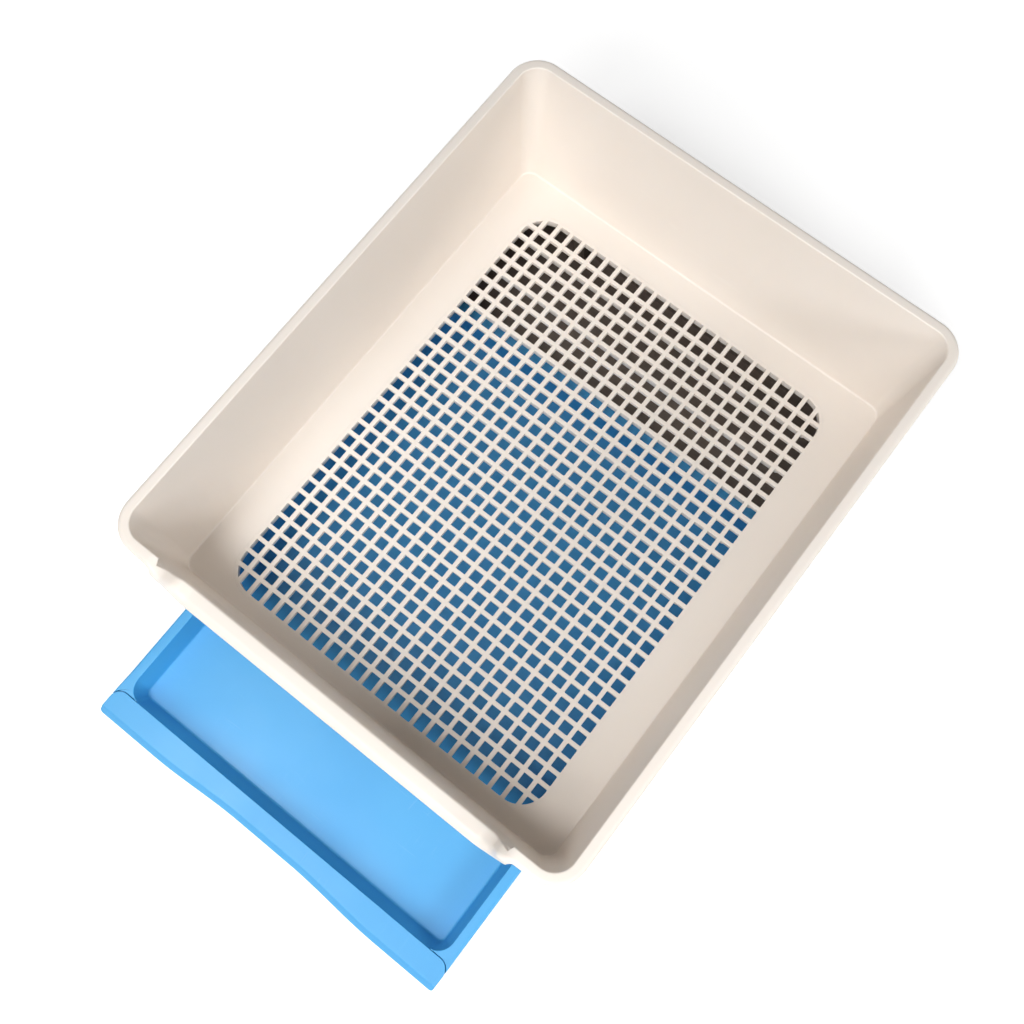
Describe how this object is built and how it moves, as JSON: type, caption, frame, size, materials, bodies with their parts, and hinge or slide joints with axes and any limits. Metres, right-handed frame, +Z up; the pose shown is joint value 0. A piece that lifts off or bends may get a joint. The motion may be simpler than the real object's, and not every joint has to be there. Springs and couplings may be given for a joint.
{
  "type": "cat litter tray",
  "caption": "Open cat litter tray with a sieve floor and a low rolled entry, on a base with a pull-out drawer for what falls through.",
  "frame": {"origin": "under the middle of the whole object, drawer drawn out as at rest, on the surface that it stands on", "axes": "+Z up, -Y towards the cat's entry and the drawer's grip, +X to the right as seen from the front"},
  "size_m": [0.38, 0.5706, 0.184],
  "materials": {
    "pan_plastic": "moulded polypropylene, cream, satin gloss",
    "sieve_plastic": "moulded polypropylene, cream, satin gloss",
    "base_plastic": "moulded polypropylene, brown-grey, satin gloss",
    "drawer_plastic": "moulded polypropylene, light blue, satin gloss",
    "pad_rubber": "soft grey non-slip rubber"
  },
  "bodies": {
    "base": {"base_box": "base_plastic", "front_left_pad": "pad_rubber", "front_right_pad": "pad_rubber", "rear_left_pad": "pad_rubber", "rear_right_pad": "pad_rubber"},
    "pan": {"litter_pan": "pan_plastic"},
    "sieve": {"sieve_grid": "sieve_plastic"},
    "drawer": {"drawer_tray": "drawer_plastic", "drawer_grip": "drawer_plastic"}
  },
  "joints": [
    {"name": "drawer_slide", "type": "slide", "parent": "base", "child": "drawer", "axis": [0, -1, 0], "range_m": [-0.0995, 0.2]},
    {"name": "pan_lift", "type": "slide", "parent": "base", "child": "pan", "axis": [0, 0, 1], "range_m": [0, 0.1]},
    {"name": "sieve_lift", "type": "slide", "parent": "pan", "child": "sieve", "axis": [0, 0, 1], "range_m": [0, 0.13]}
  ]
}
